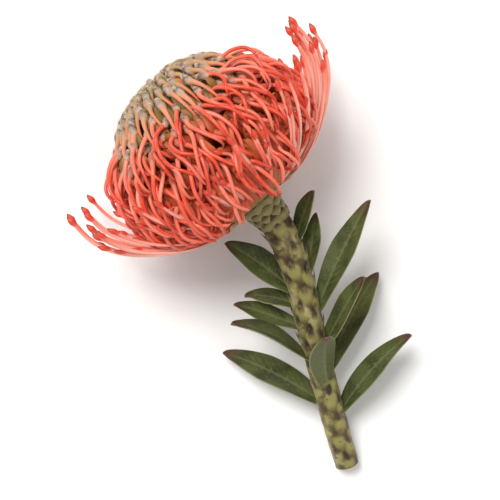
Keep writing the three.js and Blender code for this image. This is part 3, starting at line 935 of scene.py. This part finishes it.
def closed_form(name, rings, marks):
    """A skin over closed rings of points, capped at both ends. Marks are values point by point."""
    mesh = bpy.data.meshes.new(name)
    around = len(rings[0])
    spots = [point * MM for ring in rings for point in ring]
    faces = []
    for ring in range(len(rings) - 1):
        for side in range(around):
            low, high = ring * around + side, ring * around + (side + 1) % around
            faces.append((low, high, high + around, low + around))
    faces.append(tuple(reversed(range(around))))
    faces.append(tuple(range(len(spots) - around, len(spots))))
    mesh.from_pydata(spots, [], faces)
    for key, numbers in marks.items():
        mesh.attributes.new(key, "FLOAT", "POINT").data.foreach_set("value", numbers)
    form = bmesh.new()
    form.from_mesh(mesh)
    bmesh.ops.recalc_face_normals(form, faces=form.faces)
    form.to_mesh(mesh)
    form.free()
    mesh.shade_smooth()
    return placed(name, mesh)


stem_points = [NECK + Vector(spot) for spot in STEM_ROUTE]
stem_steps = [curve_point(stem_points, step / STEM_PARTS) for step in range(STEM_PARTS + 1)]
stem_reach = [0.0]
for before, after in zip(stem_steps, stem_steps[1:]):
    stem_reach.append(stem_reach[-1] + (after - before).length)
stem_length = stem_reach[-1]


def stem_frame(from_neck):
    """Point on the stem's middle, its direction, and the directions up and to the side there."""
    place = max(0.0, min(from_neck, stem_length))
    step = max(1, next(k for k, reach in enumerate(stem_reach) if reach >= place))
    share = (place - stem_reach[step - 1]) / (stem_reach[step] - stem_reach[step - 1])
    spot = stem_steps[step - 1].lerp(stem_steps[step], share)
    forward = (stem_steps[min(step + 2, STEM_PARTS)] - stem_steps[max(step - 3, 0)]).normalized()
    spot += forward * (from_neck - place)
    side = UP.cross(forward).normalized()
    return spot, forward, forward.cross(side), side


def stem_radius(from_neck):
    share = from_neck / stem_length
    if share < STEM_WAIST_AT:
        return lerp(STEM_TOP_RADIUS, STEM_WAIST_RADIUS, share / STEM_WAIST_AT)
    return lerp(STEM_WAIST_RADIUS, STEM_CUT_RADIUS, (share - STEM_WAIST_AT) / (1 - STEM_WAIST_AT))


def beside_stem(from_neck, turn, radius):
    spot, _, front, side = stem_frame(from_neck)
    angle = math.radians(turn)
    return spot + front * radius * math.cos(angle) + side * radius * math.sin(angle)


def out_of_stem(from_neck, turn):
    return (beside_stem(from_neck, turn, 1) - beside_stem(from_neck, turn, 0)).normalized()


def scale_places(count):
    """Where each scale bract sits: distance of its point from the neck, and its turn."""
    return [(SCALE_FIRST + SCALE_STEP * k, GOLDEN_ANGLE * k) for k in range(count)]


# A cushion of bark under each leaf and scale: its place, turn and size, and how dark its scar is
cushions = [(leaf.root, leaf.turn, 1, 1) for leaf in LEAVES]
for k, (place, turn) in enumerate(scale_places(CUSHION_COUNT)):
    size = lerp(1, 0.75, max(0, place - 50) / 55)
    cushions.append((place, turn, size, size * (0.7 + 0.9 * jitter(k, 24))))


def stem_marks(from_neck, turn):
    """How far a point of the bark is swollen into a cushion, and how dark its scar is there.

    A cushion is short above its scale and long below. Its scar is a narrow slanting mark on top.
    """
    swell = scar = 0.0
    radius = stem_radius(from_neck)
    for place, scale_turn, size, dark in cushions:
        down = from_neck - place
        if -4 < down < 9:
            aside = math.remainder(turn - scale_turn, 360) * math.pi / 180 * radius
            long = 4.5 if down > 2 else 2.2
            rounded = ((down - 2) / long) ** 2 + (aside / CUSHION_WIDTH) ** 4
            swell = max(swell, size * math.exp(-rounded))
            slant = aside + 0.25 * down * math.sin(place)
            narrow = ((down + 1.2) / 2.4) ** 2 + (slant / 1.1) ** 2
            scar = max(scar, dark * math.exp(-narrow))
    return swell, scar


def stem_form():
    """The stem, swollen under each scale, flat where it meets the table, and cut off at its end."""
    rings, marks = [], {"cushion": [], "scar": [], "cut": []}
    steps = int((stem_length + 2) / STEM_RING_STEP)
    stops = [-2 + STEM_RING_STEP * k for k in range(steps)] + [stem_length]
    for ring, from_neck in enumerate(stops + [stem_length, stem_length]):
        points = []
        inset = CUT_INSETS[max(0, ring - len(stops) + 1)]
        for step in range(STEM_SIDES):
            turn = step * 360 / STEM_SIDES
            swell, scar = stem_marks(from_neck, turn)
            uneven = noise.noise(Vector((from_neck * 0.3, math.sin(math.radians(turn)) * 2, 3)))
            bark = stem_radius(from_neck) - STEM_BARK_SINK + CUSHION_HEIGHT * swell + 0.12 * uneven
            point = beside_stem(from_neck, turn, bark * inset)
            points.append(Vector((point.x, point.y, max(point.z, 0))))
            marks["cushion"].append(swell)
            marks["scar"].append(scar)
            marks["cut"].append(1.0 if ring >= len(stops) else 0.0)
        rings.append(points)
    return closed_form("stem_axis", rings, marks)


def stem_scales():
    """Small bracts that hug the stem and point to the head."""
    strands = []
    for k, (place, turn) in enumerate(scale_places(SCALE_COUNT)):
        radius = stem_radius(place) + 0.15
        length = SCALE_LENGTH * (1 + 0.3 * jitter(k, 21))
        aside = turn + 5 * jitter(k, 22)
        points = [
            settled(beside_stem(place - 2 + share * length, aside, radius + lift), SCALE_REST)
            for share, lift in SCALE_LINE
        ]
        facing = broadside(points[-1] - points[0], out_of_stem(place, turn))
        strands.append(Strand(points, SCALE, facing, jitter(k, 23) + 0.5, 0.5))
    return strands


def collar_form():
    """The neck's own skin, which shows between the bracts."""
    rings = [
        [head_point(step * 360 / COLLAR_SIDES, radius, height) for step in range(COLLAR_SIDES)]
        for radius, height in COLLAR_LINE
    ]
    count = COLLAR_SIDES * len(COLLAR_LINE)
    return closed_form("collar", rings, {"along": [0.35] * count, "tone": [0.5] * count})


def collar_bracts():
    """Rows of overlapping bracts that flare out under the florets."""
    strands = []
    for row in range(BRACT_ROWS):
        share = row / (BRACT_ROWS - 1)
        radius, height = (lerp(low, high, share) for low, high in zip(BRACT_ROW_FROM, BRACT_ROW_TO))
        for step in range(BRACTS_A_ROW):
            index = row * BRACTS_A_ROW + step
            turn = (step + row / 2) * 360 / BRACTS_A_ROW + 7 * jitter(index, 31)
            size = lerp(0.9, 1.15, share) * (1 + 0.25 * jitter(index, 32))
            points = [
                settled(head_point(turn, radius + r * size, height + h * size), BRACT_REST)
                for r, h in BRACT_LINE
            ]
            facing = broadside(head_axis, outward(turn))
            girths = [size * g for g in BRACT]
            strands.append(Strand(points, girths, facing, jitter(index, 33) + 0.5, 0.5))
    return strands


def leaf_outline(share):
    """Share of a leaf's half width at each share of its length, drawn in to a short point."""
    width = 0.16 + 0.84 * max(0.0, math.sin(math.pi * share**1.15)) ** 0.65
    drawn = max(0.0, (share - 0.6) / 0.4)
    return width * (1 - 0.3 * drawn) * math.sqrt(max(0.0, 1 - drawn**6)) + 0.004


def leaf_line(leaf, forward, out):
    """The midrib's route, out of the stem and curling on."""
    line = [beside_stem(leaf.root, leaf.turn, 0.55 * stem_radius(leaf.root))]
    for piece in range(5):
        angle = math.radians(leaf.lean + leaf.curl * (piece / 2 - 1))
        step = forward * math.cos(angle) + out * math.sin(angle)
        line.append(line[-1] + step * leaf.length / 5)
    return [settled(point, LEAF_LINE_REST) for point in line]


def leaf_form(name, seed, leaf):
    """A leathery blade: cupped, with a sunken midrib, raised side veins and a thin margin."""
    forward, out = -stem_frame(leaf.root)[1], out_of_stem(leaf.root, leaf.turn)
    line = leaf_line(leaf, forward, out)
    across = Quaternion(forward, math.radians(leaf.roll)) @ out.cross(forward)
    rings, marks = [], {"along": [], "across": [], "vein": [], "underside": []}
    for row in range(LEAF_ROWS + 1):
        share = row / LEAF_ROWS
        spot = curve_point(line, share)
        before, after = (curve_point(line, min(1, max(0, share + by))) for by in (-0.02, 0.02))
        ahead = (after - before).normalized()
        side = (across - ahead * across.dot(ahead)).normalized()
        face = side.cross(ahead)
        if face.dot(forward) < 0:
            face = -face
        wide = leaf.width / 2 * leaf_outline(share)
        points = []
        for under in (0, 1):
            for column in range(-LEAF_COLUMNS_A_SIDE, LEAF_COLUMNS_A_SIDE + 1):
                u = math.sin(column / LEAF_COLUMNS_A_SIDE * math.pi / 2)
                if under:
                    u = -u
                edge = math.sqrt(max(0.0, 1 - u * u))
                mid = math.exp(-((u * wide / MIDRIB_WIDTH) ** 2))
                phase = (share * leaf.length - abs(u) * wide * SIDE_VEIN_SLANT) / SIDE_VEIN_STEP
                ridge = math.exp(-(((phase - math.floor(phase) - 0.5) * 6) ** 2))
                vein = ridge * (1 - mid) * edge
                wave = 0.5 * math.sin(share * 9 + seed + (1.5 if u > 0 else 0)) * abs(u) ** 2
                cup = 0.16 * wide * u * u + wave * 0.6
                thick = LEAF_HALF_THICKNESS * (0.35 + 0.65 * edge) * (0 if abs(u) > 0.999 else 1)
                lift = cup - 0.28 * mid - 0.07 * vein + thick
                if under:
                    lift = cup - 0.45 * mid - 0.12 * vein - thick
                points.append(settled(spot + side * (u * wide) + face * lift, LEAF_SKIN_REST))
                marks["along"].append(share)
                marks["across"].append(abs(u))
                marks["vein"].append(max(vein, mid))
                marks["underside"].append(float(under))
        rings.append(points)
    return closed_form(name, rings, marks)


def dress_stem():
    """The stem with its scales, the collar with its bracts, and the leaves."""
    downy = bract_finish()
    bract_skin = skin_tree(downy)
    stem = stem_form()
    stem.data.materials.append(stem_finish())
    mount(stem, "stem", "stem_bark")
    scales = strand_edges("stem_scales", stem_scales())
    mount(grow("stem_scales", scales, bract_skin, BRACT_CUP), "stem", "stem_bark")
    collar = collar_form()
    collar.data.materials.append(downy)
    mount(collar, "involucre", "bract")
    bracts = strand_edges("collar_bracts", collar_bracts())
    mount(grow("collar_bracts", bracts, bract_skin, BRACT_CUP), "involucre", "bract")
    leather = leaf_finish()
    for number, leaf in enumerate(LEAVES, 1):
        blade = leaf_form(f"leaf_blade_{number:02d}", number, leaf)
        blade.data.materials.append(leather)
        mount(blade, f"leaf_{number:02d}", "leaf_blade")


# Camera and light


def studio():
    """White table, soft light from the top left, and a camera that looks straight down."""
    size = TABLE_HALF_SIZE
    corners = [(-size, -size, 0), (size, -size, 0), (size, size, 0), (-size, size, 0)]
    table_mesh = bpy.data.meshes.new("table_top")
    table_mesh.from_pydata(corners, [], [(0, 1, 2, 3)])
    table = placed("table_top", table_mesh)
    white = new_finish("white_table", 0.9, Base_Color=linear("#f6f5f3"))[0]
    table_mesh.materials.append(white)
    for name, place, spread, power in LAMPS:
        lamp = bpy.data.lights.new(name, "SUN")
        lamp.angle, lamp.energy = math.radians(spread), power
        aim = (-Vector(place)).to_track_quat("-Z", "Y")
        placed(name, lamp).rotation_euler = aim.to_euler()
    world = bpy.data.worlds.new("studio")
    world.use_nodes = True
    sky = world.node_tree.nodes["Background"].inputs
    sky["Color"].default_value = (1, 1, 1, 1)
    sky["Strength"].default_value = SKY_STRENGTH
    scene.world = world
    camera = bpy.data.cameras.new("camera")
    camera.lens = CAMERA_LENS
    scene.camera = placed("camera", camera)
    scene.camera.location = (0, 0, CAMERA_HEIGHT)
    scene.view_settings.view_transform = "Standard"


studio()
dress_head()
dress_stem()
